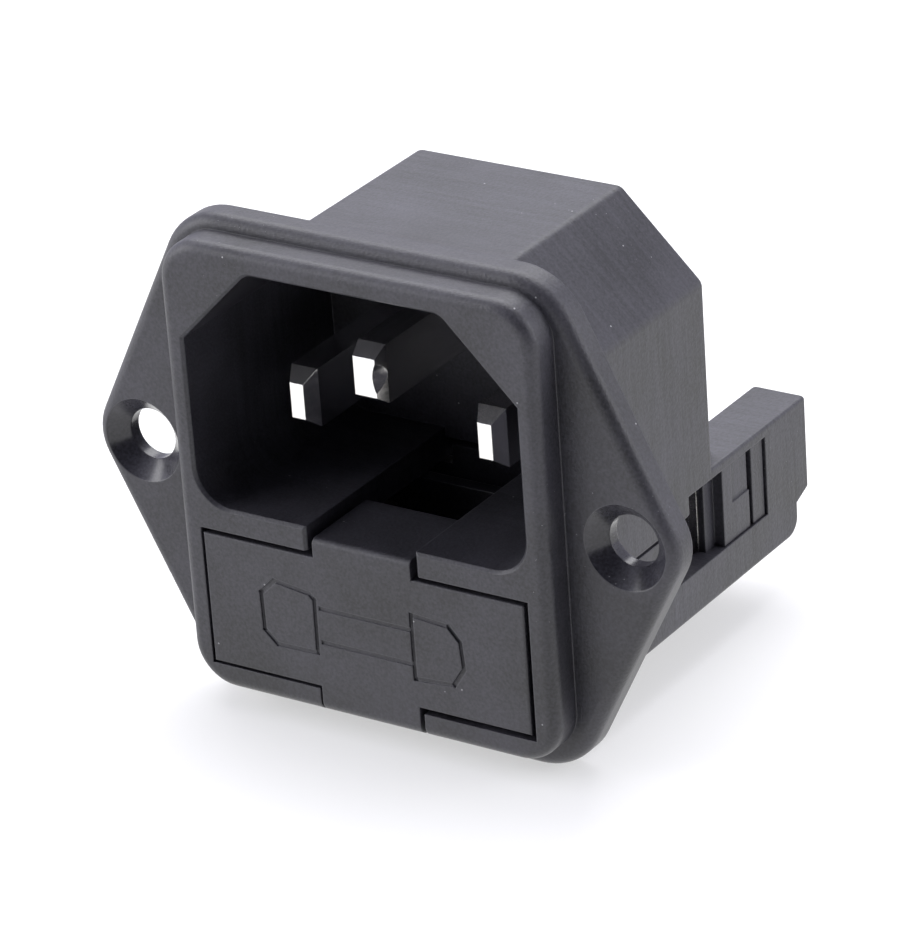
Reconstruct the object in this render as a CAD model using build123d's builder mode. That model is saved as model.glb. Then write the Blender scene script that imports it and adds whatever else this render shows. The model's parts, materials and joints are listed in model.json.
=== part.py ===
from build123d import *

import os

os.makedirs("parts", exist_ok=True)

# The origin is the middle of the flange's rear face, on the line of the two screw holes.
# X runs to the right seen from the front, Y runs into the panel, Z is up.

# Fuses
fuse_length = 20.0
fuse_cap_diameter = 5.2
fuse_cap_length = 5.2
fuse_cap_wall = 0.2
fuse_tube_wall = 0.7
fuse_wire_diameter = 0.3

# Running and seating gaps
slide_gap = 0.05
seat_gap = 0.02
tray_gap = 0.15
cover_gap = 0.35
cover_snug_gap = 0.15
notch_gap = 0.45
cell_gap = 0.3
fuse_end_gap = 0.55
fuse_headroom = 1.2

# Drawer
tray_wall = 1.0
tray_floor_wall = 0.9
tray_wall_drop = 0.4
cradle_width = 1.4
cradle_wall = 1.0
spare_cell_offset = 5.3
active_cell_offset = 0.4
active_wall_rise = 2.0
drawer_end_margin = 0.6
fuse_end_bare = 0.1
saddle_setback = 2.5
saddle_drop = 0.6
tab_drop = 0.7
tab_length = 4.2
tab_edge_round = 0.45
cover_edge_round = 0.15

# Tunnel of the drawer and pocket of its cover
tunnel_roof_drop = 0.5
tunnel_floor_wall = 1.0
pocket_side_step = 0.55
pocket_bottom_step = 1.55
pocket_depth = 2.0
sill_height = 1.65
notch_width = 8.2
foot_notch_width = 7.9
channel_drop = 0.7

# Socket recess
recess_height = 16.6
recess_depth = 16.2
recess_side_wall = 0.9
recess_top_rim = 1.55
recess_corner_cut = 5.2
recess_corner_radius = 2.5
recess_top_radius = 1.2
recess_lip = 0.2

# Bezel on the flange
bezel_side_step = 0.6
bezel_bottom_rim = 1.7
bezel_top_margin = 0.9
bezel_bottom_margin = 1.5
bezel_corner_radius = 3.0
bezel_proud = 2.3
bezel_edge_round = 0.8

# Flange with its two ears
flange_thickness = 2.0
flange_side_margin = 1.5
flange_corner_radius = 4.6
flange_edge_round = 0.85
ear_radius = 3.6
hole_offset = 4.2
screw_hole_diameter = 3.5
countersink_diameter = 5.8
countersink_angle = 90

# Body behind the flange
body_side_wall = 1.5
body_roof_wall = 0.6
body_corner_cut = 5.65
body_edge_round = 0.8
body_back_wall = 4.7
body_rear_round = 0.4
side_groove_width = 0.25
side_groove_depth = 0.25

# Tail behind the body, with its two side blocks
block_width = 3.95
block_roof_wall = 0.65
block_outer_wall = 0.9
chamber_clearance = 1.6
tail_rear_wall = 2.7
tail_foot_step = 1.5
tail_step_height = 1.95
tail_step_drop = 0.6
tail_corner_round = 1.3
tail_edge_round = 0.35
tail_top_round = 0.25
rear_wall_height = 5.55
rear_wall_thickness = 1.2

# Side windows
window_lead = 5.6
window_rear_reach = 2.8
window_sill = 2.05
window_lip_drop = 1.3
window_lip_setback = 2.3
window_lip_round = 1.2

# Contact carriers
carrier_wall = 0.5
carrier_setback = 0.15
pad_front_reach = 2.55
pad_rear_reach = 2.62
pad_groove_depth = 0.25
slit_reach = 0.72
slit_width = 0.42
relief_reach = 1.4
relief_height = 2.9
relief_depth = 0.12

# Leaf contacts
spring_thickness = 0.4
spring_tall = 4.0
spring_gap = 0.2
bow_reach = 3.2

# Contact blades
blade_spacing = 14.0
blade_rise = 6.3
earth_rise = 4.0
blade_width = 2.0
blade_tall = 4.0
blade_inset = 4.35
earth_inset = 2.0
blade_tip_bevel = 1.05
blade_tip_side = 0.5
blade_tip_top = 0.8
earth_tip_side = 0.2
earth_tip_top = 0.7
coin_reach = 0.25
coin_radius = 2.25
rivet_diameter = 1.8
rivet_head_diameter = 3.0
rivet_head_height = 0.5

# Terminal sheet metal
tab_width = 4.8
tab_thickness = 0.8
tab_reach = 7.5
tab_hole_diameter = 1.4
tab_hole_setback = 3.2
tab_tip_cut = 1.0
link_neck = 2.0
link_setback = 0.5
output_reach = 7.0
tab_leg_offset = 2.3
sheet_bend = 0.6

# Lengths of cutters that reach through, and how near an edge lies to the place it is picked by
sheet_cut = 4 * tab_thickness
coin_cut = 4 * blade_width
pick_reach = 0.05

# Widths, from the fuse outwards
tray_half = fuse_length / 2 + fuse_end_gap + tray_wall
tail_tray_half = fuse_length / 2 - fuse_end_bare
tunnel_half = tray_half + tray_gap
pocket_half = tunnel_half + pocket_side_step
body_half = tunnel_half + body_side_wall
recess_half = body_half - recess_side_wall
bezel_half = body_half + bezel_side_step
hole_place = bezel_half + hole_offset
flange_corner_place = bezel_half + flange_side_margin - flange_corner_radius
block_inside = body_half - block_width
chamber_side = body_half - block_outer_wall
link_outside = chamber_side - carrier_wall
link_inside = link_outside - tab_thickness
pad_face = body_half - carrier_setback
tab_half = notch_width / 2 - notch_gap
notch_half = notch_width / 2

# Heights, stacked from the flange's top down
pocket_height = (tunnel_roof_drop + fuse_headroom + fuse_cap_diameter + cell_gap
                 + tray_floor_wall + slide_gap + pocket_bottom_step)
bezel_height = recess_top_rim + recess_height + sill_height + pocket_height + bezel_bottom_rim
flange_height = bezel_top_margin + bezel_height + bezel_bottom_margin
bezel_top = flange_height / 2 - bezel_top_margin
bezel_bottom = bezel_top - bezel_height
recess_top = bezel_top - recess_top_rim
recess_floor = recess_top - recess_height
pocket_top = recess_floor - sill_height
pocket_floor = pocket_top - pocket_height
tunnel_roof = pocket_top - tunnel_roof_drop
fuse_height = tunnel_roof - fuse_headroom - fuse_cap_diameter / 2
tray_floor_top = fuse_height - fuse_cap_diameter / 2 - cell_gap
tray_bottom = tray_floor_top - tray_floor_wall
tunnel_floor = tray_bottom - slide_gap
tail_floor = tunnel_floor - tunnel_floor_wall
tail_step_top = tunnel_floor + tail_step_height
tail_step_bottom = tail_step_top - tail_step_drop
body_roof = recess_top + body_roof_wall
block_roof = tunnel_roof + block_roof_wall
rear_wall_top = tunnel_floor + rear_wall_height
window_bottom = tunnel_floor + window_sill
window_lip = tunnel_roof - window_lip_drop
channel_roof = recess_floor - channel_drop
stop_top = channel_roof - notch_gap
tray_wall_top = tunnel_roof - tray_wall_drop
active_wall_top = fuse_height + active_wall_rise
saddle_top = fuse_height - saddle_drop
tab_top = recess_floor - tab_drop
blade_height = recess_floor + blade_rise
spring_low = fuse_height - spring_tall / 2
tab_low = fuse_height - tab_width / 2
tab_high = fuse_height + tab_width / 2

# Depths, from the bezel's front backwards
flange_front = -flange_thickness
bezel_front = flange_front - bezel_proud
pocket_end = bezel_front + pocket_depth
recess_end = bezel_front + recess_depth
body_end = recess_end + body_back_wall
tab_end = pocket_end + tab_length
tray_end = recess_end + tray_wall
cell_reach = fuse_cap_diameter / 2 + cell_gap + cradle_wall / 2
spare_cell_front = pocket_end + spare_cell_offset
spare_fuse_place = spare_cell_front + cell_reach
spare_cell_rear = spare_fuse_place + cell_reach
active_cell_front = body_end + active_cell_offset
active_fuse_place = active_cell_front + cell_reach
active_cell_rear = active_fuse_place + cell_reach
drawer_end = active_cell_rear + drawer_end_margin
chamber_end = drawer_end + chamber_clearance
tail_length = chamber_end + tail_rear_wall
tail_foot_length = tail_length - tail_foot_step
window_start = body_end - window_lead
window_lip_end = body_end - window_lip_setback
window_end = active_fuse_place + window_rear_reach
carrier_front = body_end + slide_gap
pad_start = active_fuse_place - pad_front_reach
pad_end = active_fuse_place + pad_rear_reach
slit_start = active_fuse_place + slit_reach
relief_start = active_fuse_place - relief_reach
spring_root = active_fuse_place + bow_reach
link_end = chamber_end - link_setback
output_end = tail_length + output_reach
tab_end_place = body_end + tab_reach
blade_tip = bezel_front + blade_inset
earth_tip = bezel_front + earth_inset
saddle_place = fuse_length / 2 - saddle_setback

# Blades by name: place across, height, tip, and the tip's bevels at the side and top
blades = {
    "left": (-blade_spacing / 2, blade_height, blade_tip, blade_tip_side, blade_tip_top),
    "right": (blade_spacing / 2, blade_height, blade_tip, blade_tip_side, blade_tip_top),
    "earth": (0, blade_height + earth_rise, earth_tip, earth_tip_side, earth_tip_top),
}


def facing_front(depth):
    """Sketch plane that looks to the front, at a depth behind the flange's rear face."""
    return Plane.XZ.offset(-depth)


def block(x_low, x_high, y_low, y_high, z_low, z_high, mode=Mode.ADD):
    """Box between two corners."""
    with Locations(((x_low + x_high) / 2, (y_low + y_high) / 2, (z_low + z_high) / 2)):
        return Box(x_high - x_low, y_high - y_low, z_high - z_low, mode=mode)


def half_outline(half_width, floor, top, corner_cut):
    """Face with its two upper corners cut off, added to the open sketch."""
    with BuildLine() as outline:
        Polyline(
            (-half_width, floor),
            (half_width, floor),
            (half_width, top - corner_cut),
            (half_width - corner_cut, top),
            (-half_width + corner_cut, top),
            (-half_width, top - corner_cut),
            close=True,
        )
    make_face(outline.edges())


def finish(part, name):
    """Name one sub-part and write it."""
    part.label = name
    export_step(part, f"parts/{name}.step")


# Housing
with BuildPart() as inlet_housing:
    # flange
    with BuildSketch(facing_front(0)):
        with Locations((-hole_place, 0), (hole_place, 0)):
            Circle(ear_radius)
        with GridLocations(2 * flange_corner_place, flange_height - 2 * flange_corner_radius, 2, 2):
            Circle(flange_corner_radius)
        make_hull()
    extrude(amount=flange_thickness)
    fillet(inlet_housing.faces().sort_by(Axis.Y)[0].edges(), flange_edge_round)

    # body behind the flange, its long edges and rear edges rounded
    with BuildSketch(facing_front(0)) as body_outline:
        half_outline(body_half, block_roof, body_roof, body_corner_cut)
        fillet(body_outline.vertices().group_by(Axis.Y)[1:], body_edge_round)
    extrude(amount=-body_end)
    rear_edges = inlet_housing.faces().sort_by(Axis.Y)[-1].edges()
    fillet(rear_edges.sort_by(Axis.Z)[1:], body_rear_round)

    # bezel
    with BuildSketch(facing_front(flange_front)):
        with Locations((0, (bezel_top + bezel_bottom) / 2)):
            RectangleRounded(2 * bezel_half, bezel_height, bezel_corner_radius)
    extrude(amount=bezel_proud)
    fillet(inlet_housing.faces().sort_by(Axis.Y)[0].edges(), bezel_edge_round)

    # tail: the floor of the tunnel and the two side blocks
    with BuildSketch(Plane.YZ) as tail_outline:
        with BuildLine():
            Polyline(
                (0, block_roof),
                (tail_length, block_roof),
                (tail_length, tail_step_top),
                (tail_foot_length, tail_step_bottom),
                (tail_foot_length, tail_floor),
                (0, tail_floor),
                close=True,
            )
        make_face()
        fillet(tail_outline.vertices().group_by(Axis.Y)[0].sort_by(Axis.X)[-1], tail_corner_round)
    extrude(amount=body_half, both=True)

    # screw holes
    with Locations(facing_front(flange_front)):
        with Locations((-hole_place, 0), (hole_place, 0)):
            CounterSinkHole(screw_hole_diameter / 2, countersink_diameter / 2,
                            counter_sink_angle=countersink_angle)

    # socket recess with its lip
    with BuildSketch(facing_front(bezel_front)) as recess_outline:
        half_outline(recess_half, recess_floor, recess_top, recess_corner_cut)
        fillet(recess_outline.vertices().group_by(Axis.Y)[0], recess_corner_radius)
        fillet(recess_outline.vertices().group_by(Axis.Y)[-1], recess_top_radius)
    extrude(amount=-recess_depth, mode=Mode.SUBTRACT)
    chamfer(inlet_housing.faces().sort_by(Axis.Y)[0].inner_wires()[0].edges(), recess_lip)

    # pocket of the cover, notch for its foot, notch in the recess floor
    with BuildSketch(facing_front(bezel_front)):
        with Locations((0, (pocket_top + pocket_floor) / 2)):
            Rectangle(2 * pocket_half, pocket_height)
    extrude(amount=-pocket_depth, mode=Mode.SUBTRACT)
    block(-foot_notch_width / 2, foot_notch_width / 2, bezel_front, flange_front,
          bezel_bottom, pocket_floor, Mode.SUBTRACT)
    block(-notch_half, notch_half, bezel_front, recess_end,
          tunnel_roof, recess_floor + recess_lip, Mode.SUBTRACT)
    block(-notch_half, notch_half, recess_end, tray_end + notch_gap,
          tunnel_roof, channel_roof, Mode.SUBTRACT)
    sill_ends = inlet_housing.edges().filter_by(Axis.Z).filter_by(
        lambda e: abs(e.center().Y - bezel_front) < pick_reach
        and abs(abs(e.center().X) - notch_half) < pick_reach)
    chamfer(sill_ends, recess_lip)

    # tunnel, chambers inside the side blocks, open channel between them
    block(-tunnel_half, tunnel_half, pocket_end, body_end, tunnel_floor, tunnel_roof,
          Mode.SUBTRACT)
    block(-chamber_side, chamber_side, body_end, chamber_end, tunnel_floor, tunnel_roof,
          Mode.SUBTRACT)
    block(-block_inside, block_inside, body_end, tail_length, tunnel_floor, block_roof,
          Mode.SUBTRACT)
    block(-block_inside, block_inside, tail_foot_length - rear_wall_thickness, tail_foot_length,
          tunnel_floor, rear_wall_top)
    rear_corners = inlet_housing.edges().filter_by(Axis.Z).filter_by(
        lambda e: abs(e.center().Y - tail_length) < pick_reach
        or abs(e.center().Y - tail_foot_length) < pick_reach
        and abs(abs(e.center().X) - body_half) < pick_reach)
    fillet(rear_corners, tail_edge_round)
    block_edges = inlet_housing.edges().filter_by(
        lambda e: abs(e.center().Z - block_roof) < pick_reach
        and e.center().Y > body_end + pick_reach)
    fillet(block_edges, tail_top_round)

    # side windows, lower under the body, and the groove that leads to each
    for side in (-1, 1):
        inner, outer = sorted((side * block_inside, side * body_half))
        block(inner, outer, window_start, window_lip_end, window_bottom, window_lip, Mode.SUBTRACT)
        block(inner, outer, window_lip_end, window_end, window_bottom, tunnel_roof, Mode.SUBTRACT)
        inner, outer = sorted((side * (body_half - side_groove_depth), side * body_half))
        block(inner, outer, 0, window_start, window_lip - side_groove_width, window_lip,
              Mode.SUBTRACT)
    lip_edges = inlet_housing.edges().filter_by(Axis.Z).filter_by(
        lambda e: abs(e.center().Y - window_lip_end) < pick_reach
        and abs(abs(e.center().X) - body_half) < pick_reach)
    fillet(lip_edges, window_lip_round)

    # slots of the blades, of the line link and of the output tab
    for x, z, *tip_sizes in blades.values():
        with BuildSketch(facing_front(recess_end)):
            with Locations((x, z)):
                Rectangle(blade_width + 2 * seat_gap, blade_tall + 2 * seat_gap)
        extrude(amount=-body_back_wall, mode=Mode.SUBTRACT)
    block(link_inside - seat_gap, link_outside + seat_gap, body_end, body_end + link_neck + seat_gap,
          tunnel_roof, block_roof, Mode.SUBTRACT)
    block(-link_outside - seat_gap, -link_inside + seat_gap, chamber_end, tail_length,
          tab_low - seat_gap, tab_high + seat_gap, Mode.SUBTRACT)
finish(inlet_housing.part, "inlet_housing")

# Contact blades with bevelled tips and a riveted rear end, the earth blade coined on one side
for name, (x, z, tip, tip_side, tip_top) in blades.items():
    with BuildPart() as blade:
        with BuildSketch(facing_front(tip)):
            with Locations((x, z)):
                Rectangle(blade_width - 2 * tip_side, blade_tall - 2 * tip_top)
        with BuildSketch(facing_front(tip + blade_tip_bevel)):
            with Locations((x, z)):
                Rectangle(blade_width, blade_tall)
        loft()
        with BuildSketch(facing_front(tip + blade_tip_bevel)):
            with Locations((x, z)):
                Rectangle(blade_width, blade_tall)
        extrude(amount=tip + blade_tip_bevel - body_end)
        if name == "earth":
            coin_start = Vector(x + blade_width / 2 - tip_side - coin_reach, tip, z)
            coin_run = Vector(x + blade_width / 2, tip + blade_tip_bevel, z) - coin_start
            coin_side = coin_run.normalized().rotate(Axis.Z, -90)
            with Locations(Plane(origin=coin_start + coin_side * coin_radius, z_dir=coin_run)):
                Cylinder(coin_radius, coin_cut, mode=Mode.SUBTRACT)
        with BuildSketch(facing_front(body_end)):
            with Locations((x, z)):
                Circle(rivet_diameter / 2)
        extrude(amount=-tab_thickness)
        with BuildSketch(facing_front(body_end + tab_thickness)):
            with Locations((x, z)):
                Circle(rivet_head_diameter / 2)
        extrude(amount=-rivet_head_height)
        fillet(blade.faces().sort_by(Axis.Y)[-1].edges(), rivet_head_height / 2)
    finish(blade.part, f"{name}_blade")

# Quick-connect tabs bent out of the riveted feet
for name in ("left", "earth"):
    x, z = blades[name][:2]
    leg_inside = x - tab_leg_offset
    leg_outside = leg_inside - tab_thickness
    with BuildPart() as terminal_tab:
        with BuildSketch(Plane.XY.offset(z - tab_width / 2)) as bent_strip:
            with BuildLine():
                Polyline(
                    (x + tab_leg_offset, body_end),
                    (leg_outside, body_end),
                    (leg_outside, tab_end_place),
                    (leg_inside, tab_end_place),
                    (leg_inside, body_end + tab_thickness),
                    (x + tab_leg_offset, body_end + tab_thickness),
                    close=True,
                )
            make_face()
            bend = bent_strip.vertices().group_by(Axis.X)[0].sort_by(Axis.Y)[0]
            fillet(bend, sheet_bend)
        extrude(amount=tab_width)
        chamfer(terminal_tab.faces().sort_by(Axis.Y)[-1].edges().filter_by(Axis.X), tab_tip_cut)
        with Locations(facing_front(body_end)):
            with Locations((x, z)):
                Cylinder(rivet_diameter / 2 + seat_gap, sheet_cut, mode=Mode.SUBTRACT)
        with Locations(Plane.YZ.offset(leg_inside)):
            with Locations((tab_end_place - tab_hole_setback, z)):
                Cylinder(tab_hole_diameter / 2, sheet_cut, mode=Mode.SUBTRACT)
    finish(terminal_tab.part, f"{name}_tab")

# Link from the right blade down into the right block
with BuildPart() as line_link:
    x, z = blades["right"][:2]
    with BuildSketch(Plane.YZ.offset(link_inside)):
        with BuildLine():
            Polyline(
                (body_end, z + blade_tall / 2),
                (body_end + link_neck, z + blade_tall / 2),
                (body_end + link_neck, tab_high),
                (link_end, tab_high),
                (link_end, tab_low),
                (body_end, tab_low),
                close=True,
            )
        make_face()
    extrude(amount=tab_thickness)
    block(x - tab_leg_offset, link_inside, body_end, body_end + tab_thickness,
          z - blade_tall / 2, z + blade_tall / 2)
    with Locations(facing_front(body_end)):
        with Locations((x, z)):
            Cylinder(rivet_diameter / 2 + seat_gap, sheet_cut, mode=Mode.SUBTRACT)
finish(line_link.part, "line_link")

# Output tab through the rear of the left block
with BuildPart() as output_tab:
    with BuildSketch(Plane.YZ.offset(-link_outside)):
        with BuildLine():
            Polyline(
                (carrier_front, tab_low),
                (output_end, tab_low),
                (output_end, tab_high),
                (carrier_front, tab_high),
                close=True,
            )
        make_face()
    extrude(amount=tab_thickness)
    chamfer(output_tab.faces().sort_by(Axis.Y)[-1].edges().filter_by(Axis.X), tab_tip_cut)
    with Locations(Plane.YZ.offset(-link_inside)):
        with Locations((output_end - tab_hole_setback, fuse_height)):
            Cylinder(tab_hole_diameter / 2, sheet_cut, mode=Mode.SUBTRACT)
finish(output_tab.part, "output_tab")

# Leaf contacts, bowed towards the end caps of the active fuse
spring_line = link_inside - spring_thickness / 2
bow_line = fuse_length / 2 + spring_gap + spring_thickness / 2
for name, side in (("left", -1), ("right", 1)):
    with BuildPart() as leaf:
        with BuildSketch(Plane.XY.offset(spring_low)):
            with BuildLine():
                Line((side * spring_line, link_end), (side * spring_line, spring_root))
                ThreePointArc(
                    (side * spring_line, spring_root),
                    (side * bow_line, active_fuse_place),
                    (side * spring_line, active_fuse_place - bow_reach),
                )
            trace(line_width=spring_thickness)
        extrude(amount=spring_tall)
    finish(leaf.part, f"{name}_fuse_spring")

# Contact carriers: a wall inside each block, with split pads that show in the side window
for name, side in (("left", -1), ("right", 1)):
    with BuildPart() as carrier:
        inner, outer = sorted((side * link_outside, side * chamber_side))
        block(inner, outer, carrier_front, chamber_end - slide_gap,
              tunnel_floor + slide_gap, tunnel_roof - slide_gap)
        inner, outer = sorted((side * chamber_side, side * pad_face))
        block(inner, outer, pad_start, pad_end, window_bottom + slide_gap, tunnel_roof - slide_gap)
        block(inner, outer, slit_start, slit_start + slit_width,
              window_bottom + slide_gap, tunnel_roof - slide_gap, Mode.SUBTRACT)
        inner, outer = sorted((side * (pad_face - relief_depth), side * pad_face))
        block(inner, outer, relief_start, slit_start, tunnel_roof - relief_height,
              tunnel_roof - slide_gap, Mode.SUBTRACT)
        inner, outer = sorted((side * chamber_side, side * (pad_face - pad_groove_depth)))
        block(inner, outer, pad_end, window_end - slide_gap,
              window_bottom + slide_gap, tunnel_roof - slide_gap)
    finish(carrier.part, f"{name}_contact_carrier")

# Fuses: glass tube, two end caps and the wire
for name, place in (("spare", spare_fuse_place), ("active", active_fuse_place)):
    fuse_axis = Plane(origin=(0, place, fuse_height), x_dir=(0, 1, 0), z_dir=(1, 0, 0))
    inside_length = fuse_length - 2 * fuse_cap_wall
    tube_radius = fuse_cap_diameter / 2 - fuse_cap_wall
    with BuildPart() as tube:
        with BuildSketch(fuse_axis.offset(-inside_length / 2)):
            Circle(tube_radius)
            Circle(tube_radius - fuse_tube_wall, mode=Mode.SUBTRACT)
        extrude(amount=inside_length)
    finish(tube.part, f"{name}_fuse_tube")
    for side_name, side in (("left", -1), ("right", 1)):
        with BuildPart() as cap:
            with BuildSketch(fuse_axis.offset(side * fuse_length / 2)):
                Circle(fuse_cap_diameter / 2)
            extrude(amount=-side * fuse_cap_length)
            with BuildSketch(fuse_axis.offset(side * inside_length / 2)):
                Circle(tube_radius)
            extrude(amount=-side * fuse_cap_length, mode=Mode.SUBTRACT)
        finish(cap.part, f"{name}_fuse_cap_{side_name}")
    with BuildPart() as wire:
        with BuildSketch(fuse_axis.offset(-inside_length / 2)):
            Circle(fuse_wire_diameter / 2)
        extrude(amount=inside_length)
    finish(wire.part, f"{name}_fuse_wire")

# Drawer: cover with its two tabs, and the tray with the cradles of both fuses
with BuildPart() as fuse_drawer:
    # cover
    cover_top = pocket_top - cover_gap
    cover_bottom = pocket_floor + cover_gap
    cover_bottom_left = pocket_floor + cover_snug_gap
    cover_left = -pocket_half + cover_snug_gap
    cover_right = pocket_half - cover_gap
    foot_left = -foot_notch_width / 2 + cover_snug_gap
    foot_right = foot_notch_width / 2 - cover_gap
    with BuildSketch(facing_front(bezel_front)) as cover_outline:
        with BuildLine():
            Polyline(
                (cover_left, cover_top),
                (-tab_half, cover_top),
                (-tab_half, tab_top),
                (tab_half, tab_top),
                (tab_half, cover_top),
                (cover_right, cover_top),
                (cover_right, cover_bottom),
                (foot_right, cover_bottom),
                (foot_right, bezel_bottom),
                (foot_left, bezel_bottom),
                (foot_left, cover_bottom_left),
                (cover_left, cover_bottom_left),
                close=True,
            )
        make_face()
    extrude(amount=-pocket_depth)
    block(-tab_half, tab_half, bezel_front, tab_end, tray_wall_top, tab_top)
    front_edges = fuse_drawer.faces().sort_by(Axis.Y)[0].edges()
    fillet(front_edges.sort_by(Axis.Z)[0], bezel_edge_round)
    fillet(front_edges.sort_by(Axis.Z)[-1], tab_edge_round)
    cover_rim = fuse_drawer.faces().sort_by(Axis.Y)[0].edges().filter_by(
        lambda e: abs(e.center().X) > tab_half + pick_reach and e.center().Z > pocket_floor)
    fillet(cover_rim, cover_edge_round)

    # floor of the tray, wide in front and narrow between the leaf contacts
    with BuildSketch(Plane.XY.offset(tray_bottom)):
        with BuildLine():
            Polyline(
                (-tray_half, pocket_end),
                (tray_half, pocket_end),
                (tray_half, tray_end),
                (tail_tray_half, tray_end),
                (tail_tray_half, drawer_end),
                (-tail_tray_half, drawer_end),
                (-tail_tray_half, tray_end),
                (-tray_half, tray_end),
                close=True,
            )
        make_face()
    extrude(amount=tray_floor_wall)

    # walls of the front tray
    with BuildSketch(Plane.XY.offset(tray_floor_top)) as tray_walls:
        with Locations((0, (pocket_end + tray_end) / 2)):
            Rectangle(2 * tray_half, tray_end - pocket_end)
            with Locations((0, 0)):
                Rectangle(2 * (tray_half - tray_wall), tray_end - pocket_end - 2 * tray_wall,
                          mode=Mode.SUBTRACT)
        for wall_place in (spare_cell_front, spare_cell_rear):
            with Locations((0, wall_place)):
                Rectangle(2 * tray_half, cradle_wall)
    extrude(amount=tray_wall_top - tray_floor_top)

    # raised middle of the tray's rear wall, which closes the notch under the recess
    block(-tab_half, tab_half, tray_end - tray_wall, tray_end, tray_floor_top, stop_top)

    # walls of the active cell, with high sides behind the tray
    with BuildSketch(Plane.XY.offset(tray_floor_top)):
        for wall_place in (active_cell_front, active_cell_rear):
            with Locations((0, wall_place)):
                Rectangle(2 * tail_tray_half, cradle_wall)
        with Locations((0, (tray_end + active_cell_front) / 2)):
            Rectangle(cradle_wall, active_cell_front - tray_end)
    extrude(amount=active_wall_top - tray_floor_top)
    with BuildSketch(Plane.XY.offset(tray_floor_top)):
        with Locations((0, (tray_end + active_cell_front) / 2)):
            with GridLocations(2 * tail_tray_half - cradle_wall, 0, 2, 1):
                Rectangle(cradle_wall, active_cell_front - tray_end)
    extrude(amount=tray_wall_top - tray_floor_top)

    # saddles under the end caps of both fuses
    for place in (spare_fuse_place, active_fuse_place):
        with BuildSketch(Plane.XY.offset(tray_floor_top)):
            with GridLocations(2 * saddle_place, 0, 2, 1):
                with Locations((0, place)):
                    Rectangle(cradle_width, fuse_cap_diameter + 2 * cell_gap + cradle_wall)
        extrude(amount=saddle_top - tray_floor_top)
        with Locations(Plane(origin=(0, place, fuse_height), x_dir=(0, 1, 0), z_dir=(1, 0, 0))):
            Cylinder(fuse_cap_diameter / 2 + seat_gap, fuse_length, mode=Mode.SUBTRACT)
finish(fuse_drawer.part, "fuse_drawer")
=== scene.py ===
"""Looks of the power entry module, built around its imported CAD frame."""

import json
import logging
import math
from dataclasses import dataclass, field
from enum import Enum

import bmesh
import bpy
from mathutils import Matrix, Vector


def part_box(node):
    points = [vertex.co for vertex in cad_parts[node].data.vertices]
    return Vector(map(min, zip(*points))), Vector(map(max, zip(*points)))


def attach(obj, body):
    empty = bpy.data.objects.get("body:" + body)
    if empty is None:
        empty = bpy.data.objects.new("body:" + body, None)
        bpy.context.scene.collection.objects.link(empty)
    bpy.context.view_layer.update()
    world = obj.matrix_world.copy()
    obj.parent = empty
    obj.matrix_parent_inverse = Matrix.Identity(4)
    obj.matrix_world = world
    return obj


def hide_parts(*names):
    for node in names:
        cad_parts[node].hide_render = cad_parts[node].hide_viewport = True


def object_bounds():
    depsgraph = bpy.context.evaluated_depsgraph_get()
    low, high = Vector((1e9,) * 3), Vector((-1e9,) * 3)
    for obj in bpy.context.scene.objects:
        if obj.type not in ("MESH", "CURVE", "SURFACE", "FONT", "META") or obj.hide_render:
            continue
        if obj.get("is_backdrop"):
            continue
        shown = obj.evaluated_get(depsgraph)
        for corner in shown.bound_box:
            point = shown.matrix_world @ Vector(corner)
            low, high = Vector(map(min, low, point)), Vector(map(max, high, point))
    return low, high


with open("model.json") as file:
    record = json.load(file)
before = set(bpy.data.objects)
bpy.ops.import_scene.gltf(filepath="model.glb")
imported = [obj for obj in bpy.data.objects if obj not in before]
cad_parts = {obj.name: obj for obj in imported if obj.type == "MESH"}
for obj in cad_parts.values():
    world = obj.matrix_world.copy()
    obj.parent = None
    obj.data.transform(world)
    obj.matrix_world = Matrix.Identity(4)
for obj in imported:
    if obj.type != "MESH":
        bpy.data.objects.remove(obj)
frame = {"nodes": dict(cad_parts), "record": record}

MM = 0.001
MERGE_DISTANCE = 1e-7
PLAIN_DETAIL = 2.0
RICH_DETAIL = 3.0
Socket = bpy.types.NodeSocket
log = logging.getLogger("power_entry_module")


class Body(Enum):
    """Rigid bodies that the pieces ride on."""

    MODULE = "module"
    DRAWER = "drawer"


class Side(Enum):
    """Left and right ends of a fuse, seen from the front."""

    LEFT = -1
    RIGHT = 1


def shaded(colour: tuple, share: float) -> tuple:
    """Scale a colour's three parts by a share."""
    return tuple(share * part for part in colour)


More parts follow.
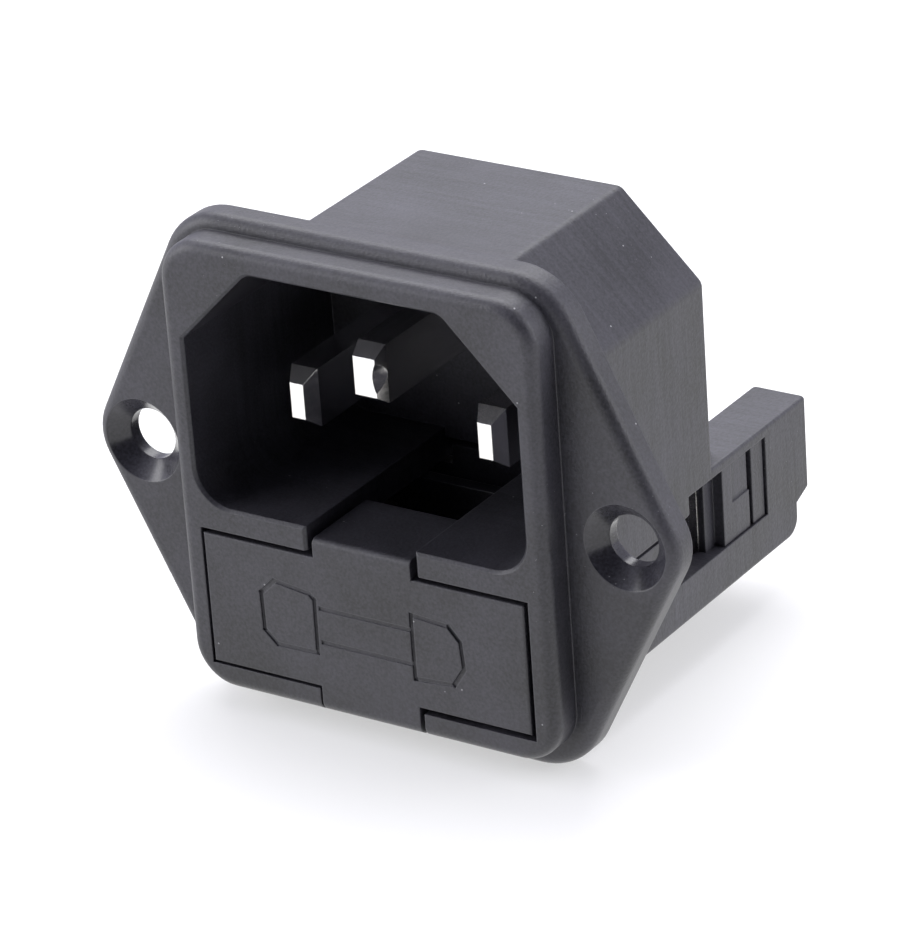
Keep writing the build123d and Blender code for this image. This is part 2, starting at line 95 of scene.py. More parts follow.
class ShaderGraph:
    """Small helper round the node tree of a material or world."""

    COLOUR_A = 6
    COLOUR_B = 7
    COLOUR_RESULT = 2
    NOISE_LOW = 0.3
    NOISE_HIGH = 0.7

    def __init__(self, owner: bpy.types.ID, output: str = "OutputMaterial") -> None:
        """Empty the owner's node tree and add its output node.

        Args:
            owner: Material or world to shade.
            output: Type of its output node, without the ShaderNode prefix.
        """
        owner.use_nodes = True
        self.tree = owner.node_tree
        self.tree.nodes.clear()
        self.output = self.add(output)

    def add(self, kind: str, **sockets: object) -> bpy.types.Node:
        """Add a node and set its input sockets.

        Args:
            kind: Node type without the ShaderNode prefix.
            **sockets: Values by socket name, with spaces written as underscores.

        Returns:
            The new node.
        """
        node = self.tree.nodes.new("ShaderNode" + kind)
        for key, value in sockets.items():
            node.inputs[key.replace("_", " ")].default_value = value
        return node

    def link(self, source: Socket, target: Socket) -> None:
        """Join two sockets."""
        self.tree.links.new(source, target)

    def surface(self, source: Socket) -> None:
        """Send a shader to the output."""
        self.link(source, self.output.inputs["Surface"])

    def place(self) -> Socket:
        """Add the part's own coordinates, in metres."""
        return self.add("TexCoord").outputs["Object"]

    def noise(self, scale: float, detail: float = PLAIN_DETAIL,
              squeeze: tuple | None = None) -> Socket:
        """Add noise in the part's own coordinates.

        Args:
            scale: Grains per metre.
            detail: Number of finer layers.
            squeeze: Scale of each axis, below 1 along the streaks; None for even grains.

        Returns:
            The noise value's socket.
        """
        place = self.place()
        if squeeze is not None:
            squeezed = self.add("Mapping", Scale=squeeze)
            self.link(place, squeezed.inputs["Vector"])
            place = squeezed.outputs["Vector"]
        node = self.add("TexNoise", Scale=scale, Detail=detail)
        self.link(place, node.inputs["Vector"])
        return node.outputs["Fac"]

    def ramp(self, source: Socket, low: float, high: float,
             start: float = 0.0, end: float = 1.0) -> Socket:
        """Map a value from one range to another, clamped.

        Args:
            source: Socket to read.
            low: Input value at the start.
            high: Input value at the end.
            start: Output value at low.
            end: Output value at high.

        Returns:
            The mapped value's socket.
        """
        node = self.add("MapRange", From_Min=low, From_Max=high, To_Min=start, To_Max=end)
        self.link(source, node.inputs["Value"])
        return node.outputs["Result"]

    def spread(self, noise: Socket, start: float = 0.0, end: float = 1.0) -> Socket:
        """Map the range that noise mostly fills to two values.

        Args:
            noise: Noise to read.
            start: Output value where the noise is low.
            end: Output value where the noise is high.

        Returns:
            The mapped value's socket.
        """
        return self.ramp(noise, self.NOISE_LOW, self.NOISE_HIGH, start, end)

    def combine(self, operation: str, first: Socket, second: Socket) -> Socket:
        """Join two values by one maths operation.

        Args:
            operation: Name of the operation, such as ADD.
            first: First value.
            second: Second value.

        Returns:
            The result's socket.
        """
        node = self.add("Math")
        node.operation = operation
        self.link(first, node.inputs[0])
        self.link(second, node.inputs[1])
        return node.outputs["Value"]

    def vector(self, operation: str, first: Socket,
               second: Socket | Vector | tuple | None = None) -> bpy.types.Node:
        """Add one vector operation.

        Args:
            operation: Name of the operation, such as DOT_PRODUCT.
            first: First vector.
            second: Second vector, linked or fixed, where the operation has one.

        Returns:
            The new node, with a vector in Vector or a single number in Value.
        """
        node = self.add("VectorMath")
        node.operation = operation
        self.link(first, node.inputs[0])
        if isinstance(second, Socket):
            self.link(second, node.inputs[1])
        elif second is not None:
            node.inputs[1].default_value = second
        return node

    def blend(self, factor: Socket, first: Socket | tuple, second: tuple) -> Socket:
        """Mix two colours by a factor.

        Args:
            factor: Socket that drives the mix.
            first: Colour at 0, linked or fixed.
            second: Colour at 1.

        Returns:
            The mixed colour's socket.
        """
        node = self.add("Mix")
        node.data_type = "RGBA"
        if isinstance(first, Socket):
            self.link(first, node.inputs[self.COLOUR_A])
        else:
            node.inputs[self.COLOUR_A].default_value = (*first, 1.0)
        node.inputs[self.COLOUR_B].default_value = (*second, 1.0)
        self.link(factor, node.inputs["Factor"])
        return node.outputs[self.COLOUR_RESULT]

    def mix(self, factor: Socket, first: Socket, second: Socket) -> Socket:
        """Mix two shaders by a factor.

        Args:
            factor: Socket that drives the mix.
            first: Shader at 0.
            second: Shader at 1.

        Returns:
            The mixed shader's socket.
        """
        node = self.add("MixShader")
        self.link(factor, node.inputs["Fac"])
        self.link(first, node.inputs[1])
        self.link(second, node.inputs[2])
        return node.outputs["Shader"]

    def rounded(self, radius: float, samples: int) -> Socket:
        """Add the normal of softly rounded edges.

        Args:
            radius: Radius of the rounding, in metres.
            samples: Rays per point.

        Returns:
            The normal's socket.
        """
        node = self.add("Bevel", Radius=radius)
        node.samples = samples
        return node.outputs["Normal"]

    def relief(self, height: Socket, distance: float, normal: Socket | None = None,
               strength: float = 1.0) -> bpy.types.Node:
        """Add fine relief.

        Args:
            height: Height, as a share of the distance.
            distance: Full height, in metres.
            normal: Normal to start from, if not the mesh's own.
            strength: Share of the relief that shows.

        Returns:
            The bump node.
        """
        node = self.add("Bump", Strength=strength, Distance=distance)
        self.link(height, node.inputs["Height"])
        if normal is not None:
            self.link(normal, node.inputs["Normal"])
        return node


@dataclass(frozen=True)
class DustSpecks:
    """Round specks of one size, each in the middle of its own cell."""

    cells_per_metre: float
    size: float
    bare_share: float = 0.5
    pick_step: float = 0.02
    core: float = 0.6

    def mask(self, graph: ShaderGraph) -> Socket:
        """Mark the specks.

        Args:
            graph: Graph to add to.

        Returns:
            Socket that is 1 on a speck and 0 beside it.
        """
        cells = graph.add("TexVoronoi", Scale=self.cells_per_metre)
        graph.link(graph.place(), cells.inputs["Vector"])
        picked = graph.add("SeparateColor")
        graph.link(cells.outputs["Color"], picked.inputs["Color"])
        return graph.combine(
            "MULTIPLY",
            graph.ramp(cells.outputs["Distance"], self.size, self.core * self.size),
            graph.ramp(picked.outputs["Red"], self.bare_share, self.bare_share + self.pick_step))


@dataclass(frozen=True)
class MouldedPlastic:
    """Semi-matt moulded thermoplastic with fine grain, mould streaks and dust specks."""

    name: str
    colour: tuple = (0.030, 0.0292, 0.0364)
    darkest: float = 0.35
    palest: float = 1.85
    roughness: float = 0.46
    smoother: float = 0.04
    rougher: float = 0.05
    # paler colour of the painted highlight on rounded edges, and where that highlight starts and
    # is full
    edge_highlight_colour: tuple = (0.044, 0.043, 0.052)
    edge_radius: float = 0.14 * MM
    edge_samples: int = 6
    edge_highlight_start: float = 0.995
    edge_highlight_full: float = 0.85
    cloud_per_metre: float = 140.0
    cloud_tone: tuple = (0.15, 0.7)
    grain_per_metre: float = 5200.0
    grain_tone: float = 0.22
    grain_height: float = 0.026 * MM
    grain_strength: float = 0.8
    streak_per_metre: float = 2600.0
    streak_axis: tuple = (0.04, 1.0, 0.04)
    streak_start: float = 0.3 * MM
    streak_tone: float = 0.16
    hole_place: float = 18.0 * MM
    countersink_radius: float = 2.9 * MM
    countersink_edge: float = 0.05 * MM
    countersink_gloss: float = 0.24
    dust_colour: tuple = (0.30, 0.30, 0.31)
    coarse_dust: DustSpecks = DustSpecks(cells_per_metre=700.0, size=0.05)
    fine_dust: DustSpecks = DustSpecks(cells_per_metre=2500.0, size=0.08)
    dust_patch_per_metre: float = 90.0
    dust_patch_start: float = 0.56
    dust_patch_full: float = 0.66

    def dust(self, graph: ShaderGraph) -> Socket:
        """Scatter sparse pale specks everywhere and finer dust in patches.

        Args:
            graph: Graph to add to.

        Returns:
            Socket that is 1 on a speck and 0 beside it.
        """
        patches = graph.ramp(graph.noise(self.dust_patch_per_metre),
                             self.dust_patch_start, self.dust_patch_full)
        fine = graph.combine("MULTIPLY", self.fine_dust.mask(graph), patches)
        return graph.combine("MAXIMUM", self.coarse_dust.mask(graph), fine)

    def streaks(self, graph: ShaderGraph) -> Socket:
        """Draw fine streaks across the faces behind the flange.

        Args:
            graph: Graph to add to.

        Returns:
            Socket that swings a little below and above 0.
        """
        lines = graph.noise(self.streak_per_metre, RICH_DETAIL, self.streak_axis)
        split = graph.add("SeparateXYZ")
        graph.link(graph.place(), split.inputs["Vector"])
        behind = graph.ramp(split.outputs["Y"], self.streak_start, 2 * self.streak_start)
        swing = graph.spread(lines, -self.streak_tone, self.streak_tone)
        return graph.combine("MULTIPLY", swing, behind)

    def polish(self, graph: ShaderGraph) -> Socket:
        """Mark the smooth cones of the two countersinks.

        Args:
            graph: Graph to add to.

        Returns:
            Socket that is 1 inside the countersinks and 0 elsewhere.
        """
        mirrored = graph.vector("ABSOLUTE", graph.place()).outputs["Vector"]
        centred = graph.vector("SUBTRACT", mirrored, (self.hole_place, 0.0, 0.0))
        seen_in_front = graph.vector("MULTIPLY", centred.outputs["Vector"], (1.0, 0.0, 1.0))
        reach = graph.vector("LENGTH", seen_in_front.outputs["Vector"]).outputs["Value"]
        return graph.ramp(reach, self.countersink_radius + self.countersink_edge,
                          self.countersink_radius - self.countersink_edge)

    def paint(self, graph: ShaderGraph, tone: Socket, rounded: Socket) -> Socket:
        """Colour the plastic, with a painted highlight of slightly paler colour on rounded edges,
        and dust.

        Args:
            graph: Graph to add to.
            tone: Mottle and streaks, from 0 for the darkest to 1 for the palest.
            rounded: Normal of softly rounded edges.

        Returns:
            The colour's socket.
        """
        base = graph.blend(tone, shaded(self.colour, self.darkest),
                           shaded(self.colour, self.palest))
        # painted highlight: paler colour wherever the rounded normal turns from the flat one, on
        # convex and concave edges alike
        flat = graph.add("NewGeometry").outputs["Normal"]
        turned = graph.vector("DOT_PRODUCT", rounded, flat).outputs["Value"]
        highlit = graph.blend(graph.ramp(turned, self.edge_highlight_start, self.edge_highlight_full),
                           base, self.edge_highlight_colour)
        return graph.blend(self.dust(graph), highlit, self.dust_colour)

    def material(self) -> bpy.types.Material:
        """Build the plastic's material.

        Returns:
            The new material.
        """
        material = bpy.data.materials.new(self.name)
        graph = ShaderGraph(material)
        shader = graph.add("BsdfPrincipled")
        cloud = graph.noise(self.cloud_per_metre, RICH_DETAIL)
        fine = graph.noise(self.grain_per_metre)
        streaks = self.streaks(graph)
        rounded = graph.rounded(self.edge_radius, self.edge_samples)
        mottle = graph.combine("ADD", graph.spread(cloud, *self.cloud_tone),
                               graph.spread(fine, -self.grain_tone, self.grain_tone))
        tone = graph.combine("ADD", mottle, streaks)
        graph.link(self.paint(graph, tone, rounded), shader.inputs["Base Color"])

        # grain and streaks as relief and in the gloss, but not on the smooth cones
        polish = self.polish(graph)
        grain = graph.relief(graph.combine("ADD", fine, streaks), self.grain_height, rounded)
        graph.link(graph.ramp(polish, 0.0, 1.0, self.grain_strength, 0.0),
                   grain.inputs["Strength"])
        graph.link(grain.outputs["Normal"], shader.inputs["Normal"])
        patchy = graph.spread(cloud, self.roughness - self.smoother,
                              self.roughness + self.rougher)
        gloss = graph.ramp(polish, 0.0, 1.0, 0.0, self.countersink_gloss)
        graph.link(graph.combine("SUBTRACT", patchy, gloss), shader.inputs["Roughness"])
        graph.surface(shader.outputs["BSDF"])
        return material


@dataclass(frozen=True)
class SheetMetal:
    """Plated metal with drawing streaks along one axis."""

    name: str
    colour: tuple
    roughness: float
    smoother: float = 0.8
    rougher: float = 1.3
    tarnish: float = 0.62
    tarnish_per_metre: float = 420.0
    tarnish_start: float = 0.35
    tarnish_full: float = 0.65
    streak_axis: tuple = (1.0, 0.06, 1.0)
    streak_per_metre: float = 5000.0
    streak_height: float = 0.003 * MM
    streak_strength: float = 0.25
    edge_radius: float = 0.06 * MM
    edge_samples: int = 4

    def material(self) -> bpy.types.Material:
        """Build the metal's material.

        Returns:
            The new material.
        """
        material = bpy.data.materials.new(self.name)
        graph = ShaderGraph(material)
        shader = graph.add("BsdfPrincipled", Metallic=1.0)
        streak = graph.noise(self.streak_per_metre, RICH_DETAIL, self.streak_axis)
        cloud = graph.ramp(graph.noise(self.tarnish_per_metre, RICH_DETAIL),
                           self.tarnish_start, self.tarnish_full)
        tone = graph.blend(cloud, shaded(self.colour, self.tarnish), self.colour)
        graph.link(tone, shader.inputs["Base Color"])
        rough = graph.spread(streak, self.roughness * self.smoother,
                             self.roughness * self.rougher)
        graph.link(rough, shader.inputs["Roughness"])
        relief = graph.relief(streak, self.streak_height,
                              graph.rounded(self.edge_radius, self.edge_samples),
                              self.streak_strength)
        graph.link(relief.outputs["Normal"], shader.inputs["Normal"])
        graph.surface(shader.outputs["BSDF"])
        return material


@dataclass(frozen=True)
class ClearGlass:
    """Thin clear tube glass with faint drawing lines."""

    name: str
    tint: tuple = (0.93, 0.97, 0.95)
    roughness: float = 0.03
    refraction: float = 1.5
    line_per_metre: float = 900.0
    line_tone: float = 0.97
    line_height: float = 0.004 * MM
    line_strength: float = 0.08

    def material(self) -> bpy.types.Material:
        """Build the glass material.

        Returns:
            The new material.
        """
        material = bpy.data.materials.new(self.name)
        graph = ShaderGraph(material)
        shader = graph.add("BsdfPrincipled", Roughness=self.roughness, IOR=self.refraction,
                           Transmission_Weight=1.0)
        lines = graph.noise(self.line_per_metre)
        tone = graph.blend(graph.spread(lines), self.tint, shaded(self.tint, self.line_tone))
        graph.link(tone, shader.inputs["Base Color"])
        relief = graph.relief(lines, self.line_height, strength=self.line_strength)
        graph.link(relief.outputs["Normal"], shader.inputs["Normal"])
        graph.surface(shader.outputs["BSDF"])
        return material


@dataclass(frozen=True)
class StudioWhite:
    """Pale floor that the camera and reflections see as white, and that keeps shadows."""

    name: str
    colour: tuple = (0.5, 0.5, 0.5)
    lift: float = 0.5
    bounce: tuple = (0.72, 0.72, 0.72)
    mirror: float = 1.4

    def material(self) -> bpy.types.Material:
        """Build the floor's material.

        Returns:
            The new material.
        """
        material = bpy.data.materials.new(self.name)
        graph = ShaderGraph(material)
        path = graph.add("LightPath")

        # lit floor with its shadow, for the camera
        body = graph.add("BsdfDiffuse", Color=(*self.colour, 1.0))
        glow = graph.add("Emission", Strength=self.lift)
        lit = graph.add("AddShader")
        graph.link(body.outputs["BSDF"], lit.inputs[0])
        graph.link(glow.outputs["Emission"], lit.inputs[1])

        # bounce for matt faces, and an even card for glossy ones
        bounce = graph.add("BsdfDiffuse", Color=(*self.bounce, 1.0))
        card = graph.add("Emission", Strength=self.mirror)
        unseen = graph.mix(path.outputs["Is Glossy Ray"], bounce.outputs["BSDF"],
                           card.outputs["Emission"])

        seen = graph.combine("MAXIMUM", path.outputs["Is Camera Ray"],
                             path.outputs["Is Transmission Ray"])
        graph.surface(graph.mix(seen, unseen, lit.outputs["Shader"]))
        return material


@dataclass
class Finishes:
    """Every finish of the part, by the record's slot names."""

    made: dict = field(default_factory=dict)

    def build(self) -> None:
        """Make all materials once."""
        along_x = (0.06, 1.0, 1.0)
        for finish in (
            MouldedPlastic("black_plastic"),
            MouldedPlastic("drawer_plastic", colour=(0.031, 0.0302, 0.0372)),
            SheetMetal("blade_metal", colour=(0.88, 0.87, 0.86), roughness=0.18, tarnish=0.92),
            SheetMetal("terminal_metal", colour=(0.74, 0.73, 0.70), roughness=0.30),
            SheetMetal("spring_metal", colour=(0.72, 0.68, 0.60), roughness=0.26),
            SheetMetal("fuse_cap_metal", colour=(0.80, 0.79, 0.78), roughness=0.18,
                       streak_axis=along_x),
            SheetMetal("fuse_wire", colour=(0.62, 0.60, 0.56), roughness=0.30,
                       streak_axis=along_x),
            ClearGlass("fuse_glass"),
        ):
            self.made[finish.name] = finish.material()
            log.info("finish %s", finish.name)

    def dress(self, piece: bpy.types.Object, slot: str) -> None:
        """Give one object the material of a slot.

        Args:
            piece: Object to dress.
            slot: Name of the record's material slot.
        """
        piece.data.materials.clear()
        piece.data.materials.append(self.made[slot])


def box_of(node: str) -> tuple:
    """Lowest and highest corner of one CAD node, as vectors."""
    return tuple(Vector(corner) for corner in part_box(node))


def new_object(name: str, mesh: bmesh.types.BMesh) -> bpy.types.Object:
    """Turn a bmesh into an object of the scene.

    Args:
        name: Name of the object and its mesh.
        mesh: Mesh to take over; it is freed.

    Returns:
        The new object.
    """
    data = bpy.data.meshes.new(name)
    mesh.to_mesh(data)
    mesh.free()
    made = bpy.data.objects.new(name, data)
    bpy.context.scene.collection.objects.link(made)
    return made


def new_piece(name: str, mesh: bmesh.types.BMesh, body: Body, slot: str,
              finishes: Finishes, smooth: bool = False) -> bpy.types.Object:
    """Turn a bmesh into a dressed piece that rides on a body.

    Args:
        name: Name of the piece.
        mesh: Mesh to take over; it is freed.
        body: Body that the piece rides on.
        slot: Name of the record's material slot.
        finishes: The finishes to dress it from.
        smooth: Whether its faces are shaded smooth.

    Returns:
        The new object.
    """
    piece = new_object(name, mesh)
    if smooth:
        piece.data.shade_smooth()
    finishes.dress(piece, slot)
    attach(piece, body.value)
    log.info("piece %s rides on %s", name, body.value)
    return piece


def add_ring(mesh: bmesh.types.BMesh, centre: Vector, radius: float, sides: int) -> list:
    """Add a ring of vertices round an axis along X.

    Args:
        mesh: Mesh to add to.
        centre: Middle of the ring.
        radius: Its radius, in metres.
        sides: Number of vertices.

    Returns:
        The new vertices, in order.
    """
    angles = (2 * math.pi * side / sides for side in range(sides))
    return [mesh.verts.new(centre + Vector((0.0, radius * math.cos(angle),
                                            radius * math.sin(angle))))
            for angle in angles]


def join_rings(mesh: bmesh.types.BMesh, rings: list) -> None:
    """Join each ring of vertices to the next with faces.

    Args:
        mesh: Mesh to add to.
        rings: Rings with the same number of vertices.
    """
    for first, second in zip(rings, rings[1:]):
        for side in range(len(first)):
            after = (side + 1) % len(first)
            mesh.faces.new((first[side], first[after], second[after], second[side]))


def lathe(profile: list, middle: Vector, sides: int = 64) -> bmesh.types.BMesh:
    """Turn a profile round an axis along X, and close its ends unless it returns to its start.

    Args:
        profile: Points as (place along X, radius), in metres.
        middle: Point that the axis runs through.
        sides: Number of divisions round the axis.

    Returns:
        The turned mesh.
    """
    mesh = bmesh.new()
    rings = [add_ring(mesh, middle + Vector((along, 0.0, 0.0)), radius, sides)
             for along, radius in profile]
    join_rings(mesh, rings)
    if profile[0] != profile[-1]:
        for ring, (_, radius) in ((rings[0], profile[0]), (rings[-1], profile[-1])):
            if radius > MERGE_DISTANCE:
                mesh.faces.new(ring)
    bmesh.ops.remove_doubles(mesh, verts=mesh.verts, dist=MERGE_DISTANCE)
    bmesh.ops.recalc_face_normals(mesh, faces=mesh.faces)
    return mesh


@dataclass
class InletBody:
    """Every CAD node of the module, each of which keeps its shape where it is shown."""

    slots: dict = field(default_factory=lambda: {
        part["node"]: part["material_slot"] for part in frame["record"]["subparts"]
    })

    def dress(self, finishes: Finishes) -> None:
        """Give every CAD node its finish.

        Args:
            finishes: The finishes to dress from.
        """
        for name, node in frame["nodes"].items():
            finishes.dress(node, self.slots[name])
            log.info("node %s dressed as %s", name, self.slots[name])


@dataclass
class EngravedDrawer:
    """Fuse drawer with the outline of a fuse cut into its cover.

    The points of the outline are (x, z) on the cover, in millimetres.
    """

    line_width: float = 0.3 * MM
    line_overlap: float = 0.9
    upright_depth: float = 0.17 * MM
    level_depth: float = 0.1 * MM
    weld_distance: float = 0.002 * MM
    left_cap: tuple = ((-7.93, -7.61), (-6.83, -6.58), (-4.19, -6.92), (-3.84, -7.27),
                       (-3.88, -11.04), (-6.96, -11.1), (-7.88, -10.23))
    right_cap: tuple = ((3.47, -6.7), (6.23, -6.91), (7.04, -7.84), (7.2, -9.7),
                        (6.36, -10.98), (3.47, -11.2))
    bar_heights: tuple = (-7.8, -10.2)
    bar_ends: tuple = (-3.4, 3.3)

    def strokes(self) -> list:
        """Straight strokes of the fuse outline.

        Returns:
            Pairs of end points as (x, z), in millimetres.
        """
        lines = []
        for ring in (self.left_cap, self.right_cap):
            lines += list(zip(ring, ring[1:] + ring[:1]))
        for height in self.bar_heights:
            lines.append(((self.bar_ends[0], height), (self.bar_ends[1], height)))
        return lines

    def cutter(self, front: float) -> bpy.types.Object:
        """Hidden solid that cuts the strokes.

        Args:
            front: Y of the cover's front face.

        Returns:
            The hidden cutter object, which is removed after the cut.
        """
        mesh = bmesh.new()
        for start, end in self.strokes():
            run = Vector((end[0] - start[0], 0.0, end[1] - start[1])) * MM
            middle = Vector((start[0] + end[0], 0.0, start[1] + end[1])) * MM / 2
            middle.y = front
            depth = self.upright_depth if abs(run.z) > abs(run.x) else self.level_depth
            turn = Matrix.Rotation(-math.atan2(run.z, run.x), 4, "Y")
            size = Matrix.Diagonal((run.length + self.line_width * self.line_overlap,
                                    2 * depth, self.line_width, 1.0))
            bmesh.ops.create_cube(mesh, size=1.0, matrix=Matrix.Translation(middle) @ turn @ size)
        tool = new_object("stroke_cutter", mesh)
        tool.hide_render = True
        tool.hide_viewport = True
        return tool

    def build(self, finishes: Finishes) -> None:
        """Cut the strokes into a copy of the drawer and show it in the drawer's place.

        Args:
            finishes: The finishes to dress it from.
        """
        node = frame["nodes"]["fuse_drawer"]
        copy = bpy.data.objects.new("drawer_blank", node.data.copy())
        bpy.context.scene.collection.objects.link(copy)
        weld = copy.modifiers.new("weld", "WELD")
        weld.merge_threshold = self.weld_distance
        tool = self.cutter(box_of("fuse_drawer")[0].y)
        cut = copy.modifiers.new("cut", "BOOLEAN")
        cut.operation = "DIFFERENCE"
        cut.solver = "EXACT"
        cut.use_self = True
        cut.object = tool
        bpy.context.view_layer.update()
        finished = copy.evaluated_get(bpy.context.evaluated_depsgraph_get())
        mesh = bmesh.new()
        mesh.from_mesh(bpy.data.meshes.new_from_object(finished))
        bpy.data.objects.remove(copy)
        bpy.data.objects.remove(tool)
        drawer = new_piece("engraved_drawer", mesh, Body.DRAWER, "drawer_plastic", finishes)
        drawer.data.shade_flat()
        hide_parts("fuse_drawer")


@dataclass
class GlassFuse:
    """One 5 x 20 mm fuse: end caps with rolled rims, glass tube and fuse wire."""

    name: str
    rim_round: float = 0.35 * MM
    rim_steps: int = 5
    cap_wall: float = 0.2 * MM
    cap_fit: float = 0.01 * MM
    mouth_bevel: tuple = (0.1 * MM, 0.06 * MM)
    solder_dip: float = 0.12 * MM
    solder_share: float = 0.45
    solder_flank: tuple = (0.8, 0.5)
    glass_wall: float = 0.6 * MM
    glass_inset: float = 0.2 * MM
    glass_end_tilt: float = 0.5
    wire_radius: float = 0.11 * MM
    wire_sag: float = 0.5 * MM
    wire_steps: int = 24
    wire_sides: int = 10

    def middle(self) -> Vector:
        """Middle of the fuse."""
        low, high = box_of(f"{self.name}_fuse_tube")
        return (low + high) / 2

    def build_cap(self, side: Side, finishes: Finishes) -> None:
        """Turn one end cap with a rounded rim and a soldered dimple.

        Args:
            side: Which end of the fuse.
            finishes: The finishes to dress it from.
        """
        node = f"{self.name}_fuse_cap_{side.name.lower()}"
        low, high = box_of(node)
        middle = self.middle()
        radius = (high.z - low.z) / 2
        end, mouth = ((high.x, low.x) if side is Side.RIGHT else (low.x, high.x))
        end -= middle.x
        mouth -= middle.x
        turn = side.value
        dip = radius * self.solder_share
        flank_depth, flank_place = self.solder_flank
        bevel_length, bevel_depth = self.mouth_bevel
        floor = end - turn * (self.cap_wall + self.solder_dip)
        profile = [(floor, 0.0), (end - turn * self.solder_dip, 0.0),
                   (end - turn * self.solder_dip * flank_depth, dip * flank_place), (end, dip)]
        for step in range(self.rim_steps + 1):
            angle = math.pi / 2 * step / self.rim_steps
            profile.append((end - turn * self.rim_round * (1 - math.cos(angle)),
                            radius - self.rim_round * (1 - math.sin(angle))))
        inner = radius - self.cap_wall + self.cap_fit
        profile += [(mouth + turn * bevel_length, radius), (mouth, radius - bevel_depth),
                    (mouth, inner), (floor, inner)]
        piece = new_piece(f"{self.name}_cap_{side.name.lower()}", lathe(profile, middle),
                          Body.DRAWER, "fuse_cap_metal", finishes, smooth=True)
        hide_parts(node)

    def build_glass(self, finishes: Finishes) -> None:
        """Turn the glass tube.

        Args:
            finishes: The finishes to dress it from.
        """
        node = f"{self.name}_fuse_tube"
        low, high = box_of(node)
        half = (high.x - low.x) / 2 - self.glass_inset
        radius = (high.z - low.z) / 2
        bore = radius - self.glass_wall
        profile = [(-half, bore), (-half, radius), (half, radius), (half, bore), (-half, bore)]
        mesh = lathe(profile, self.middle())
        piece = new_piece(f"{self.name}_glass", mesh, Body.DRAWER, "fuse_glass", finishes)
        for face in piece.data.polygons:
            face.use_smooth = abs(face.normal.x) < self.glass_end_tilt
        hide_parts(node)

    def build_wire(self, finishes: Finishes) -> None:
        """Run the fuse wire between the caps, slightly sagging.

        Args:
            finishes: The finishes to dress it from.
        """
        node = f"{self.name}_fuse_wire"
        low, high = box_of(node)
        half = (high.x - low.x) / 2
        middle = self.middle()
        mesh = bmesh.new()
        rings = []
        for step in range(self.wire_steps + 1):
            share = step / self.wire_steps
            dip = self.wire_sag * math.sin(math.pi * share)
            centre = middle + Vector((-half + 2 * half * share, 0.0, -dip))
            rings.append(add_ring(mesh, centre, self.wire_radius, self.wire_sides))
        join_rings(mesh, rings)
        mesh.faces.new(rings[0])
        mesh.faces.new(rings[-1])
        bmesh.ops.recalc_face_normals(mesh, faces=mesh.faces)
        piece = new_piece(f"{self.name}_wire", mesh, Body.DRAWER, "fuse_wire", finishes,
                          smooth=True)
        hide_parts(node)

    def build(self, finishes: Finishes) -> None:
        """Build the whole fuse.

        Args:
            finishes: The finishes to dress it from.
        """
        for side in Side:
            self.build_cap(side, finishes)
        self.build_glass(finishes)
        self.build_wire(finishes)


@dataclass(frozen=True)
class Softbox:
    """One square softbox that faces the object: metres for place and size, power in watts."""

    name: str
    place: tuple
    size: float
    power: float

    def build(self) -> None:
        """Hang the softbox."""
        lamp = bpy.data.lights.new(self.name, "AREA")
        lamp.size = self.size
        lamp.energy = self.power
        box = bpy.data.objects.new(self.name, lamp)
        box.location = self.place
        box.rotation_euler = (-Vector(self.place)).to_track_quat("-Z", "Y").to_euler()
        bpy.context.scene.collection.objects.link(box)
        log.info("softbox %s", self.name)


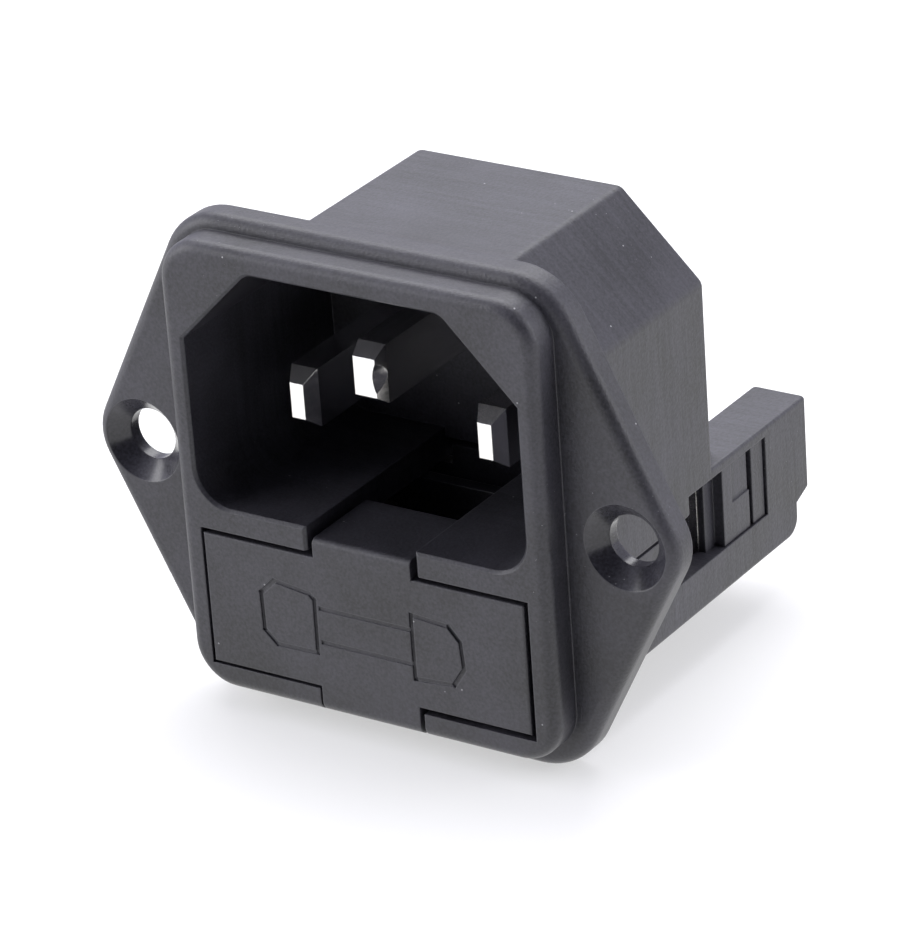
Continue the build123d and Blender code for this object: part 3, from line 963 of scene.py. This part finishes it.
@dataclass
class Studio:
    """Floor, lamps, surround and camera, whose place is in millimetres."""

    floor_half: float = 1.5
    softboxes: tuple = (
        Softbox("softbox_top", place=(-0.2, 0.36, 0.72), size=0.8, power=8.5),
        Softbox("softbox_right", place=(0.75, 0.35, 0.35), size=0.6, power=3.2),
        Softbox("softbox_left", place=(-0.7, -0.45, 0.3), size=0.6, power=5.4),
    )
    tent_front: tuple = (0.512, -0.743, 0.43)
    tent_bright: tuple = (0.35, (0.86, 0.855, 1.02, 1.0))
    tent_dark: tuple = (0.9, (0.05, 0.05, 0.06, 1.0))
    azimuth: float = 34.577
    elevation: float = 25.487
    roll: float = -4.161
    place: tuple = (168.8, -238.67, 140.11)
    focal_pixels: float = 5187.9
    frame_height: float = 930.0
    sensor: float = 36.0
    clip_near: float = 0.01
    clip_far: float = 20.0

    def build_floor(self) -> None:
        """Lay the floor under the object's lowest point."""
        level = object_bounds()[0][2]
        mesh = bmesh.new()
        bmesh.ops.create_grid(mesh, x_segments=1, y_segments=1, size=self.floor_half)
        floor = new_object("floor", mesh)
        floor.location = (0.0, 0.0, level)
        floor.data.materials.append(StudioWhite("studio_floor").material())
        floor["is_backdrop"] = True
        log.info("floor at %.2f mm", level / MM)

    def build_surround(self) -> None:
        """Set the world: white to the camera, a soft grey tent to everything else."""
        world = bpy.data.worlds.new("tent")
        bpy.context.scene.world = world
        graph = ShaderGraph(world, "OutputWorld")
        white = graph.add("Background", Color=(1.0, 1.0, 1.0, 1.0), Strength=1.0)
        tent = graph.add("Background", Strength=1.0)
        facing = graph.vector("DOT_PRODUCT", graph.add("TexCoord").outputs["Generated"],
                              Vector(self.tent_front).normalized())
        fade = graph.add("ValToRGB")
        stops = (self.tent_bright, self.tent_dark)
        for element, (position, colour) in zip(fade.color_ramp.elements, stops):
            element.position = position
            element.color = colour
        graph.link(facing.outputs["Value"], fade.inputs["Fac"])
        graph.link(fade.outputs["Color"], tent.inputs["Color"])
        seen = graph.add("LightPath").outputs["Is Camera Ray"]
        graph.surface(graph.mix(seen, tent.outputs["Background"], white.outputs["Background"]))

    def build_camera(self) -> None:
        """Place the camera at the photograph's view."""
        data = bpy.data.cameras.new("camera")
        data.sensor_width = self.sensor
        data.lens = self.focal_pixels / self.frame_height * self.sensor
        data.clip_start = self.clip_near
        data.clip_end = self.clip_far
        turn = math.radians(self.azimuth)
        tilt = math.radians(self.elevation)
        ahead = Vector((-math.sin(turn) * math.cos(tilt), math.cos(turn) * math.cos(tilt),
                        -math.sin(tilt)))
        right = Vector((math.cos(turn), math.sin(turn), 0.0))
        right.rotate(Matrix.Rotation(math.radians(-self.roll), 3, ahead))
        above = right.cross(ahead)
        camera = bpy.data.objects.new("camera", data)
        pose = Matrix((right, above, -ahead)).transposed().to_4x4()
        pose.translation = Vector(self.place) * MM
        camera.matrix_world = pose
        bpy.context.scene.collection.objects.link(camera)
        bpy.context.scene.camera = camera

    def build(self) -> None:
        """Build the whole studio."""
        self.build_floor()
        for softbox in self.softboxes:
            softbox.build()
        self.build_surround()
        self.build_camera()
        bpy.context.scene.view_settings.view_transform = "Standard"


def main() -> None:
    """Build every class in order."""
    logging.basicConfig(level=logging.INFO, format="%(name)s: %(message)s")
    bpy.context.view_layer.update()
    finishes = Finishes()
    finishes.build()
    InletBody().dress(finishes)
    EngravedDrawer().build(finishes)
    for name in ("spare", "active"):
        GlassFuse(name).build(finishes)
    Studio().build()


if __name__ == "__main__":
    main()
